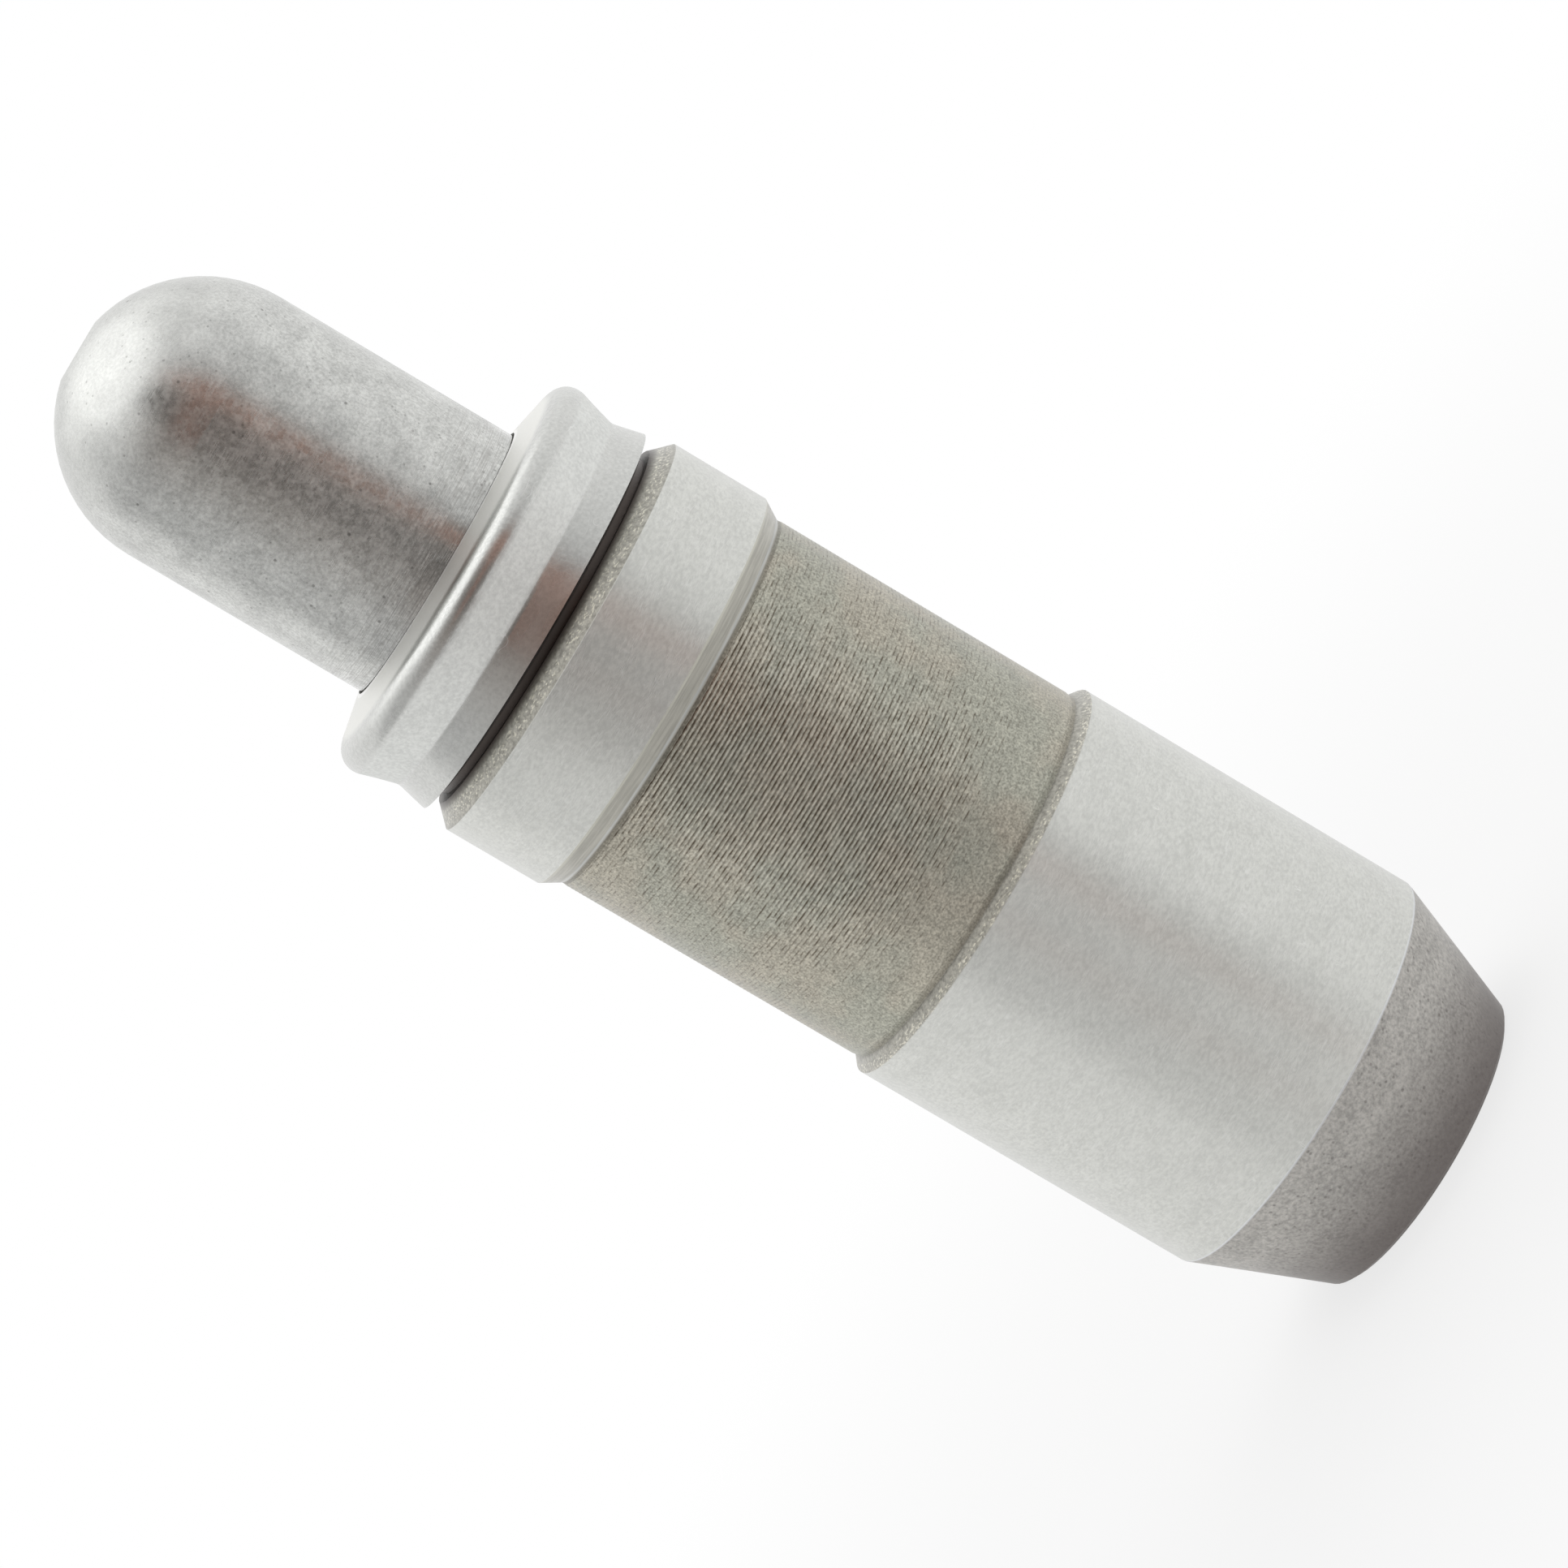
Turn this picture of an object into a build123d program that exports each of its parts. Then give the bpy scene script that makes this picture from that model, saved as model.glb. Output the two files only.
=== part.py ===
from build123d import *
import math
import os

# Hydraulic valve lifter of the end-pivot kind, with a ball-headed plunger.
# Lengths are in millimetres. Z is the lifter's axis, from the foot (zero) up to the ball.

# Body, outside
guide_radius = 6.0
foot_taper_depth = 1.57
foot_edge_break = 0.12
taper_length = 4.03
lower_land_length = 10.31
lower_bevel_length = 0.27
feed_groove_depth = 0.34
feed_groove_length = 9.37
upper_bevel_length = 0.56
upper_land_length = 2.82
shoulder_bevel_length = 0.52
shoulder_width = 0.31

# Body, inside
body_wall = 1.16
neck_wall = 0.67
floor_thickness = 3.0
relief_depth = 0.15
relief_length = 3.4
floor_corner = 0.4
mouth_chamfer = 0.12
feed_hole_radius = 0.75
feed_hole_chamfer = 0.12
feed_hole_above_middle = 1.2

# Retainer cap, rolled from sheet
cap_sheet = 0.4
cap_height = 2.74
cap_stand_off = 0.32
cap_skirt_flare = 0.21
cap_waist_height = 0.9
cap_waist_bend = 0.4
cap_bead_rise = 0.32
cap_roll_radius = 0.62
cap_crown_angle = 12

# Ball plunger
plunger_shoulder = 0.48
ball_above_cap = 7.43
tip_flat_radius = 0.9
tip_hole_radius = 0.5
tip_hole_chamfer = 0.15
head_depth = 6.2
drill_point_angle = 118
reservoir_wall = 1.85
oil_groove_depth = 0.5
oil_groove_margin = 0.2
port_radius = 0.6
foot_land_length = 1.25
plunger_edge = 0.2

# Leak-down plunger
leakdown_length = 7.9
cage_recess_depth = 1.0
cage_recess_rim = 0.65
valve_web_thickness = 1.2
valve_port_radius = 0.9
seat_mouth_radius = 1.6
seat_angle = 45

# Check valve
check_ball_radius = 1.5
cage_sheet = 0.3
cage_depth = 3.6
cage_hole_radius = 0.6
cage_window_count = 3
cage_window_width = 1.3
cage_window_rim = 0.45

# Springs
plunger_spring_wire = 0.7
plunger_spring_inset = 0.1
plunger_spring_turns = 4
check_spring_wire = 0.2
check_spring_radius = 0.95
check_spring_turns = 2
closed_turns = 1
closed_coil_gap = 0.04
ground_share = 0.25
wire_sides = 6

# Travel and clearances
plunger_travel = 3.0
sliding_clearance = 0.05
cap_hole_clearance = 0.08
snap_clearance = 0.03
stop_clearance = 0.02
seat_clearance = 0.01
ball_side_clearance = 0.2
recess_clearance = 0.05

# Radii that follow from the guide lands, from the outside in
foot_radius = guide_radius - foot_taper_depth
feed_groove_radius = guide_radius - feed_groove_depth
bore_radius = feed_groove_radius - body_wall
neck_radius = bore_radius + neck_wall
shoulder_radius = neck_radius + shoulder_width
cap_waist_radius = neck_radius + snap_clearance + cap_sheet
cap_bead_radius = cap_waist_radius + cap_bead_rise
cap_skirt_radius = cap_waist_radius + cap_skirt_flare
plunger_radius = bore_radius - sliding_clearance
ball_radius = plunger_radius - plunger_shoulder
reservoir_radius = plunger_radius - reservoir_wall
cage_recess_radius = plunger_radius - cage_recess_rim
cage_flange_radius = cage_recess_radius - recess_clearance
plunger_spring_radius = cage_flange_radius - plunger_spring_inset - plunger_spring_wire / 2

# Heights up the body
lower_land_end = taper_length + lower_land_length
feed_groove_start = lower_land_end + lower_bevel_length
feed_groove_end = feed_groove_start + feed_groove_length
upper_land_start = feed_groove_end + upper_bevel_length
upper_land_end = upper_land_start + upper_land_length
shoulder_height = upper_land_end + shoulder_bevel_length
feed_hole_height = (feed_groove_start + feed_groove_end) / 2 + feed_hole_above_middle

# Heights of the cap
cap_edge_height = shoulder_height + cap_stand_off
cap_roll_top = cap_edge_height + cap_height

# The cap's top is a shallow cone from its hole down to the roll
cap_hole_radius = ball_radius + cap_hole_clearance
cap_roll_centre = Vector(cap_bead_radius - cap_roll_radius, cap_roll_top - cap_roll_radius)
crown_slope = math.tan(math.radians(cap_crown_angle))


def crown_height(radius, depth=0):
    """Height of the cap's conical top at a radius, or of a face that lies a depth under it."""
    over_centre = (cap_roll_radius - depth) / math.cos(math.radians(cap_crown_angle))
    return cap_roll_centre.Y + over_centre + (cap_roll_centre.X - radius) * crown_slope


# Heights of the body's mouth and of the two plungers at full extension
mouth_height = crown_height(bore_radius, cap_sheet)
plunger_stop = crown_height(plunger_radius, cap_sheet) - stop_clearance
ball_height = cap_roll_top + ball_above_cap
tip_height = ball_height + math.sqrt(ball_radius**2 - tip_flat_radius**2)
oil_groove_start = feed_hole_height - feed_hole_radius - oil_groove_margin
oil_groove_end = feed_hole_height + feed_hole_radius + oil_groove_margin + plunger_travel
plunger_split = oil_groove_start - foot_land_length
leakdown_bottom = plunger_split - leakdown_length

# Heights of the check valve, which hangs from the leak-down plunger
valve_plane = leakdown_bottom + cage_recess_depth
seat_slope = math.tan(math.radians(seat_angle))
seat_top = valve_plane + (seat_mouth_radius - valve_port_radius) / seat_slope
contact_radius = check_ball_radius * math.cos(math.radians(seat_angle))
contact_height = valve_plane + (seat_mouth_radius - contact_radius) / seat_slope
check_ball_height = contact_height - check_ball_radius * math.sin(math.radians(seat_angle)) - seat_clearance
cage_floor = valve_plane - cage_depth
cage_inner_radius = check_ball_radius + ball_side_clearance


def turned(*outline):
    """Solid turned about Z from lines and arcs drawn as (radius, height)."""
    edges = [edge for line in outline for edge in line.edges()]
    return revolve(Plane.XZ * make_face(edges), Axis.Z)


def moved_inwards(corners, inset):
    """Corners of the line that runs parallel to an open polyline, on its left."""
    points = [Vector(*corner) for corner in corners]
    runs = []
    for start, end in zip(points, points[1:]):
        along = (end - start).normalized()
        across = Vector(-along.Y, along.X)
        runs.append((start + across * inset, end + across * inset, along))
    moved = [runs[0][0]]
    for (start, _, along), (other, _, turned_to) in zip(runs, runs[1:]):
        apart = other - start
        cross = along.X * turned_to.Y - along.Y * turned_to.X
        step = (apart.X * turned_to.Y - apart.Y * turned_to.X) / cross
        moved.append(start + along * step)
    moved.append(runs[-1][1])
    return moved


def cap_flank_angle():
    """Angle above the horizontal of the flank that runs from the waist up to the roll."""
    to_centre = cap_roll_centre - Vector(cap_waist_radius, cap_edge_height + cap_waist_height)
    return math.atan2(to_centre.Y, to_centre.X) - math.asin(cap_roll_radius / to_centre.length)


def cap_corners():
    """Corners of the cap's outer face, from its hole over the bead down to the skirt's edge."""
    waist_height = cap_edge_height + cap_waist_height
    flank_slope = math.tan(cap_flank_angle())
    brow = cap_waist_radius + (crown_height(cap_waist_radius) - waist_height) / (flank_slope + crown_slope)
    return [(cap_hole_radius, crown_height(cap_hole_radius)),
            (brow, crown_height(brow)),
            (cap_waist_radius, waist_height),
            (cap_skirt_radius, cap_edge_height)]


def neck_lip():
    """Points down the lip that the cap snaps over, just inside the cap's roll."""
    reach = cap_roll_radius - cap_sheet - snap_clearance
    flank = math.degrees(cap_flank_angle()) - 90
    steps = [flank + (90 - cap_crown_angle - flank) * share for share in (0.75, 0.5, 0.25, 0)]
    rim = [cap_roll_centre + Vector(reach, 0).rotate(Axis.Z, step) for step in steps]
    mouth_edge = cap_roll_centre.X
    return [(mouth_edge, crown_height(mouth_edge, cap_sheet))] + [(point.X, point.Y) for point in rim]


def lifter_body():
    neck_start = cap_edge_height + cap_waist_height
    outside = Polyline((bore_radius, mouth_height),
                       *neck_lip(),
                       (neck_radius, neck_start),
                       (neck_radius, shoulder_height),
                       (shoulder_radius, shoulder_height),
                       (guide_radius, upper_land_end),
                       (guide_radius, upper_land_start),
                       (feed_groove_radius, feed_groove_end),
                       (feed_groove_radius, feed_groove_start),
                       (guide_radius, lower_land_end),
                       (guide_radius, taper_length),
                       (foot_radius + foot_edge_break / 2, foot_edge_break),
                       (foot_radius - foot_edge_break, 0),
                       (0, 0),
                       (0, mouth_height),
                       close=True)
    relief_radius = bore_radius + relief_depth
    relief_top = floor_thickness + relief_length
    bore = Polyline((0, floor_thickness),
                    (relief_radius - floor_corner, floor_thickness),
                    (relief_radius, floor_thickness + floor_corner),
                    (relief_radius, relief_top),
                    (bore_radius, relief_top + relief_depth),
                    (bore_radius, mouth_height - mouth_chamfer),
                    (bore_radius + mouth_chamfer, mouth_height),
                    (0, mouth_height),
                    close=True)
    return turned(outside) - turned(bore) - feed_hole()


def feed_hole():
    """Radial oil hole in the middle of the outside groove, on the +Y side."""
    hole = extrude(Plane.XZ * Circle(feed_hole_radius), guide_radius, dir=(0, 1, 0))
    flare_start = feed_groove_radius - feed_hole_chamfer
    flare = Plane.XZ.offset(-flare_start) * Circle(feed_hole_radius)
    flare_mouth = Plane.XZ.offset(-guide_radius) * Circle(feed_hole_radius + guide_radius - flare_start)
    return Pos(0, 0, feed_hole_height) * (hole + loft([flare, flare_mouth]))


def retainer_cap():
    """Sheet cap: shallow conical top, rolled bead, waist and flared skirt."""
    outer = FilletPolyline(*cap_corners(), radius=[cap_roll_radius, cap_waist_bend])
    hole_corner = (cap_hole_radius, crown_height(cap_hole_radius, cap_sheet))
    inner = FilletPolyline(hole_corner, *moved_inwards(cap_corners(), -cap_sheet)[1:],
                           radius=[cap_roll_radius - cap_sheet, cap_waist_bend + cap_sheet])
    hole = Line(outer @ 0, inner @ 0)
    edge = Line(outer @ 1, inner @ 1)
    return turned(outer, edge, inner, hole)


def ball_plunger():
    groove_radius = plunger_radius - oil_groove_depth
    point_height = (reservoir_radius - tip_hole_radius) / math.tan(math.radians(drill_point_angle / 2))
    reservoir_end = tip_height - head_depth
    tip_angle = math.degrees(math.acos(tip_flat_radius / ball_radius))
    guide = Polyline((reservoir_radius, plunger_split + plunger_edge),
                     (reservoir_radius + plunger_edge, plunger_split),
                     (plunger_radius - plunger_edge, plunger_split),
                     (plunger_radius, plunger_split + plunger_edge),
                     (plunger_radius, oil_groove_start - plunger_edge),
                     (groove_radius, oil_groove_start),
                     (groove_radius, oil_groove_end),
                     (plunger_radius, oil_groove_end + plunger_edge),
                     (plunger_radius, plunger_stop - plunger_edge),
                     (plunger_radius - plunger_edge, plunger_stop),
                     (ball_radius, plunger_stop + plunger_shoulder * crown_slope),
                     (ball_radius, ball_height))
    head = CenterArc((0, ball_height), ball_radius, 0, tip_angle)
    inside = Polyline((tip_flat_radius, tip_height),
                      (tip_hole_radius + tip_hole_chamfer, tip_height),
                      (tip_hole_radius, tip_height - tip_hole_chamfer),
                      (tip_hole_radius, reservoir_end + point_height),
                      (reservoir_radius, reservoir_end),
                      (reservoir_radius, plunger_split + plunger_edge))
    port = extrude(Plane.XZ * Circle(port_radius), plunger_radius, dir=(0, 1, 0))
    port_height = oil_groove_end - port_radius - oil_groove_margin
    return turned(guide, head, inside) - Pos(0, 0, port_height) * port


def leakdown_plunger():
    web_top = valve_plane + valve_web_thickness
    return turned(Polyline((cage_recess_radius, leakdown_bottom),
                           (plunger_radius - plunger_edge, leakdown_bottom),
                           (plunger_radius, leakdown_bottom + plunger_edge),
                           (plunger_radius, plunger_split - plunger_edge),
                           (plunger_radius - plunger_edge, plunger_split),
                           (reservoir_radius + plunger_edge, plunger_split),
                           (reservoir_radius, plunger_split - plunger_edge),
                           (reservoir_radius, web_top),
                           (valve_port_radius, web_top),
                           (valve_port_radius, seat_top),
                           (seat_mouth_radius, valve_plane),
                           (cage_recess_radius, valve_plane),
                           close=True))


def check_ball():
    return Pos(0, 0, check_ball_height) * Sphere(check_ball_radius)


def check_ball_cage():
    """Stamped hat with its flange against the plunger and windows for the oil."""
    corners = [(cage_flange_radius, valve_plane),
               (cage_inner_radius, valve_plane),
               (cage_inner_radius, cage_floor),
               (cage_hole_radius, cage_floor)]
    outer_face = moved_inwards(corners, cage_sheet)
    hat = turned(Polyline(*corners, *reversed(outer_face), close=True))
    window_bottom = cage_floor + cage_window_rim
    window_top = valve_plane - cage_sheet - cage_window_rim
    reach = cage_inner_radius + cage_sheet
    window = Pos(reach, 0, (window_bottom + window_top) / 2) * Box(reach, cage_window_width,
                                                                   window_top - window_bottom)
    for place in PolarLocations(0, cage_window_count):
        hat -= place * window
    return hat


def coil_spring(mean_radius, wire, bottom, top, active_turns):
    """Compression spring with closed ends, ground flat at the bottom and the top."""
    closed_pitch = wire + closed_coil_gap
    closed_height = closed_pitch * closed_turns
    start = bottom + wire * (0.5 - ground_share)
    end = top - wire * (0.5 - ground_share)
    active_pitch = (end - start - 2 * closed_height) / active_turns
    section = Pos(mean_radius, 0, 0) * Plane.XZ * RegularPolygon(wire / 2, wire_sides)
    coils = Part()
    height = start
    turns_done = 0
    for pitch, turns in ((closed_pitch, closed_turns), (active_pitch, active_turns),
                         (closed_pitch, closed_turns)):
        run = Helix(pitch, pitch * turns, mean_radius)
        coils += Pos(0, 0, height) * Rot(0, 0, 360 * turns_done) * sweep(section, path=run, is_frenet=True)
        height += pitch * turns
        turns_done += turns
    reach = 4 * mean_radius
    return coils & Pos(0, 0, (bottom + top) / 2) * Box(reach, reach, top - bottom)


def plunger_spring():
    return coil_spring(plunger_spring_radius, plunger_spring_wire, floor_thickness,
                       valve_plane - cage_sheet, plunger_spring_turns)


def check_ball_spring():
    reach = check_ball_radius + check_spring_wire / 2 + seat_clearance
    drop = math.sqrt(reach**2 - check_spring_radius**2)
    top = check_ball_height - drop + check_spring_wire / 2
    return coil_spring(check_spring_radius, check_spring_wire, cage_floor, top, check_spring_turns)


def main():
    os.makedirs("parts", exist_ok=True)
    pieces = [lifter_body, retainer_cap, ball_plunger, leakdown_plunger,
              check_ball, check_ball_cage, check_ball_spring, plunger_spring]
    for piece in pieces:
        export_step(piece(), f"parts/{piece.__name__}.step")


main()
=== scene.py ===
import math

import bpy
from bpy.props import FloatProperty, FloatVectorProperty, IntProperty, PointerProperty
from mathutils import Matrix, Vector


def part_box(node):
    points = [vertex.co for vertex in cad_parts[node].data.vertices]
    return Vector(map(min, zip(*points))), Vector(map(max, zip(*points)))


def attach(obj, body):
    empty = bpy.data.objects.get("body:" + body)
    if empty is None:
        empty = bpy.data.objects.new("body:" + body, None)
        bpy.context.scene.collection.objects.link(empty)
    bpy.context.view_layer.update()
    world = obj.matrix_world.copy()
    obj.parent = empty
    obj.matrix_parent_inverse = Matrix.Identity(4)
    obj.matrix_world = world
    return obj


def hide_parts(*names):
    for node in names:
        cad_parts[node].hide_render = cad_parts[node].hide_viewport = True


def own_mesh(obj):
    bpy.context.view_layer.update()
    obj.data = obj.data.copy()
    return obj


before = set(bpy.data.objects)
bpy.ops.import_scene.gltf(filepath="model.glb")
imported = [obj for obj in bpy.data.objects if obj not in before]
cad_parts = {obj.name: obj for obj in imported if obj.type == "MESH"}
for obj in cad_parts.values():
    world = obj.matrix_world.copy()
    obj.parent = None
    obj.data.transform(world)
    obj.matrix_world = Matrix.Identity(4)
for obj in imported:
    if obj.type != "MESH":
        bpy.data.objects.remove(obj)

bl_info = {
    "name": "Valve lifter dressing",
    "version": (1, 0, 0),
    "blender": (4, 5, 0),
    "location": "3D View > Sidebar > Lifter",
    "description": "Metal finishes, turned rings, wire springs and a studio for a hydraulic valve lifter",
    "category": "Object",
}

# The lifter stands on its foot with its axis on Z. A size in millimetres times MM is in metres.
MM = 0.001
GUIDE_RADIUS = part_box("lifter_body")[1].x
CAP_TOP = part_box("retainer_cap")[1].z
TIP_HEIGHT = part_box("ball_plunger")[1].z
ORIGIN = Vector()

# Height of the middle of the ball plunger's ball
BALL_HEIGHT = 38.37 * MM

# Heights under and over everything, for a finish that runs to the end of its piece
BELOW, ABOVE = -1 * MM, 1.0

# Rows of points for each feed mark, points along a turn of wire, and sides of the wire
MARK_STEPS, TURN_STEPS, WIRE_SIDES = 4, 48, 14

# Noise lies mostly between these two values.
NOISE_LOW, NOISE_HIGH = 0.3, 0.7

# Grain patterns: size along the axis and around it in mm, detail and seed
GRAINS = {
    "ground fine": (0.09, 0.16, 2.0, 1.0),
    "ground coarse": (0.5, 1.4, 3.0, 2.0),
    "pores": (0.12, 0.12, 2.0, 4.0),
    "painted_glint": (0.05, 0.12, 1.0, 37.0),
    "foot pores": (0.11, 0.11, 4.0, 5.0),
    "bevel turning": (0.06, 1.5, 2.0, 6.0),
    "olive clouds": (2.2, 2.8, 2.0, 31.0),
    "sand": (0.06, 0.07, 1.0, 33.0),
    "broken rings": (0.10, 0.30, 2.0, 36.0),
    "sheet fine": (0.10, 0.12, 2.0, 7.0),
    "sheet coarse": (0.8, 2.0, 2.0, 8.0),
    "satin clouds": (0.9, 0.9, 4.0, 11.0),
    "satin mottle": (0.20, 0.20, 3.0, 12.0),
    "satin fine": (0.08, 0.09, 1.0, 13.0),
    "lapping": (0.04, 1.5, 2.0, 17.0),
    "ball haze": (0.3, 0.3, 2.0, 19.0),
    "wire streaks": (0.06, 0.7, 3.0, 23.0),
}

# Round marks: spacing and size in mm, and the share of cells that hold one
SPECKS = {
    "foot pits": (0.19, 0.06, 0.35),
    "plunger pits": (0.55, 0.06, 0.5),
    "plunger dots": (0.22, 0.045, 0.35),
}

# Fine lines: size along the axis and around it in mm, width, the share that is kept and seed
SCRATCHES = {
    "grinding lines": (0.06, 0.5, 0.05, 0.6, 1.0),
    "land nicks": (0.5, 0.12, 0.03, 0.15, 3.0),
    "cap nicks": (0.25, 0.5, 0.015, 0.3, 9.0),
    "turned lines": (0.03, 3.0, 0.05, 0.5, 14.0),
    "rubbed rings": (0.05, 1.6, 0.10, 0.9, 15.0),
}

# Colours of marks and lines, and of the painted highlights, glints and shade on edges, feed marks and
# recesses
WHITE = (1.0, 1.0, 1.0)
GREY = (0.5, 0.5, 0.5, 1.0)
GRINDING_LINE = (0.80, 0.80, 0.78)
LAND_NICK = (0.92, 0.92, 0.90)
FOOT_PIT = (0.10, 0.09, 0.085)
FOOT_PAINTED_SHADE = (0.14, 0.12, 0.115)
FOOT_EDGE_HIGHLIGHT = (0.78, 0.80, 0.84)
GLINT_HIGHLIGHT = (0.92, 0.89, 0.76)
ROOT_PAINTED_SHADE = (0.10, 0.09, 0.07)
COOL_EDGE_HIGHLIGHT = (0.62, 0.66, 0.70)
WARM_EDGE_HIGHLIGHT = (0.74, 0.74, 0.64)
RING_CREST_HIGHLIGHT = (0.76, 0.74, 0.65)
RING_VALLEY_OXIDE_AND_SHADE = (0.075, 0.055, 0.036)
CAP_NICK = (0.85, 0.85, 0.84)
CAP_CROWN_HIGHLIGHT = (0.86, 0.86, 0.83)
CAP_RIM_HIGHLIGHT = (0.95, 0.95, 0.94)
BALL_POLISH = (0.75, 0.75, 0.74)
PLUNGER_PIT = (0.10, 0.095, 0.09)
PLUNGER_DOT = (0.12, 0.115, 0.11)
RUBBED_RING_AND_SHADE = (0.30, 0.29, 0.275)
CARD_GLOW = (0.33, 0.19, 0.15)

# Greys across the card, as (degrees from the front, level), in its lower and its upper part
CARD_REACH = 120
LOW_GREYS = ((-120, 1.0), (-52, 0.98), (-44, 0.88), (-34, 0.73),
             (36, 0.73), (44, 0.88), (52, 0.98), (120, 1.0))
HIGH_GREYS = ((-120, 1.0), (-106, 0.96), (-98, 0.66), (-88, 0.62), (-60, 0.54), (-40, 0.43), (-24, 0.31),
              (-10, 0.19), (8, 0.19), (22, 0.31), (34, 0.44), (42, 0.66), (60, 0.80), (80, 0.92),
              (100, 0.98), (120, 1.0))


# Sizes and colours a user would change

def number(name, description, default, **more):
    return FloatProperty(name=name, description=description, default=default, **more)


def length(name, description, millimetres):
    return number(name, description, millimetres * MM, unit="LENGTH", precision=5)


def factor(name, description, default):
    return number(name, description, default, min=0, soft_max=1, subtype="FACTOR")


def angle(name, description, degrees):
    return number(name, description, math.radians(degrees), subtype="ANGLE")


def triple(name, description, default, **more):
    return FloatVectorProperty(name=name, description=description, default=default, size=3, **more)


def position(name, description, millimetres):
    return triple(name, description, [value * MM for value in millimetres], subtype="TRANSLATION",
                  unit="LENGTH")


def colour(name, description, default):
    return triple(name, description, default, min=0, max=1, subtype="COLOR")


class LifterSizes(bpy.types.PropertyGroup):
    """Heights where one finish gives way to the next, and the feed marks in the groove."""

    foot_end: length("Foot taper end", "Height where the taper meets the lower land", 4.03)
    # The foot's darker end is painted shade.
    foot_painted_shade: length("Foot shade end", "Height where the foot's darker end fades out", 3.4)
    groove_low: length("Groove bottom", "Height of the lower end of the feed groove", 14.61)
    lower_bevel: length("Lower bevel", "Length of the bevel under the groove", 0.27)
    groove_high: length("Groove top", "Height of the upper end of the feed groove", 23.98)
    upper_bevel: length("Upper bevel", "Length of the bevel over the groove", 0.56)
    land_top: length("Upper land top", "Height where the shoulder's bevel starts", 27.36)
    shoulder_bevel: length("Shoulder bevel", "Length of the bevel over the upper land", 0.52)
    waist_low: length("Waist start", "Height where the cap's pale waist band starts", 29.15)
    waist_high: length("Waist end", "Height where the cap's pale waist band ends", 30.20)
    # The crown is brushed and also carries a painted highlight.
    crown_start: length("Crown start", "Height where the cap's brushed crown starts", 30.95)
    groove_depth: length("Groove depth", "How far the groove lies under the lands", 0.34)
    mark_pitch: length("Feed mark pitch", "Feed of the turning tool in the groove", 0.12)
    mark_height: length("Feed mark height", "How far each feed mark stands out and sinks in", 0.009)
    mark_fade: length("Feed mark fade", "Length over which the marks grow from the groove's bottom", 3.2)
    mark_sink: length("Feed mark sink", "How far the marks' sleeve sinks in at its ends", 0.04)
    mark_blunt: factor("Feed mark bluntness", "Share of the marks' height that is left at the sides", 0.45)
    mark_even: factor("Feed mark evenness", "Least share of its height that a mark keeps", 0.35)
    mark_sides: IntProperty(name="Feed mark sides", description="Straight runs round the groove", default=200,
                            min=24)
    feed_hole_height: length("Feed hole height", "Height of the oil feed hole's middle", 20.495)
    feed_hole_rim: length("Feed hole rim", "Radius that the feed marks leave open round the hole", 0.93)


class LifterSprings(bpy.types.PropertyGroup):
    """Wire and turns of the springs, which fill the space their CAD solids hold."""

    plunger_wire: length("Plunger spring wire", "Wire diameter of the plunger spring", 0.7)
    plunger_turns: number("Plunger spring turns", "Open turns of the plunger spring", 4, min=1)
    check_wire: length("Check spring wire", "Wire diameter of the check ball's spring", 0.2)
    check_turns: number("Check spring turns", "Open turns of the check ball's spring", 2, min=1)
    closed_gap: length("Closed coil gap", "Gap between closed coils", 0.04)


class LifterColours(bpy.types.PropertyGroup):
    """Colours of the steel finishes."""

    land: colour("Ground land", "Pale ground steel of the guide lands", (0.625, 0.63, 0.60))
    groove: colour("Feed groove", "Brown-grey hardened skin in the groove", (0.412, 0.388, 0.325))
    groove_olive: colour("Groove olive", "Olive clouds in the groove's skin", (0.378, 0.376, 0.32))
    bevel: colour("Bevels", "Bare turned steel of the bevels", (0.40, 0.39, 0.35))
    # The shoulder's dark colour is painted shade under the cap's edge.
    shoulder: colour("Shoulder", "Dark shaded steel under the cap's edge", (0.10, 0.085, 0.077))
    foot: colour("Foot taper", "Dark mottled skin of the foot", (0.465, 0.45, 0.425))
    cap: colour("Cap", "Bright formed sheet", (0.60, 0.605, 0.585))
    # The waist's pale colour is a painted reflection of the floor, on a rubbed and rougher band.
    waist: colour("Cap waist", "Pale rubbed band under the cap's bead", (0.75, 0.76, 0.74))
    plunger: colour("Plunger", "Satin steel of the ball plunger", (0.585, 0.59, 0.57))
    inner: colour("Inner pieces", "Lapped steel inside the body", (0.50, 0.50, 0.49))
    ball: colour("Check ball", "Polished bearing steel", (0.70, 0.70, 0.70))
    wire: colour("Spring wire", "Drawn wire", (0.30, 0.30, 0.31))


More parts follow.
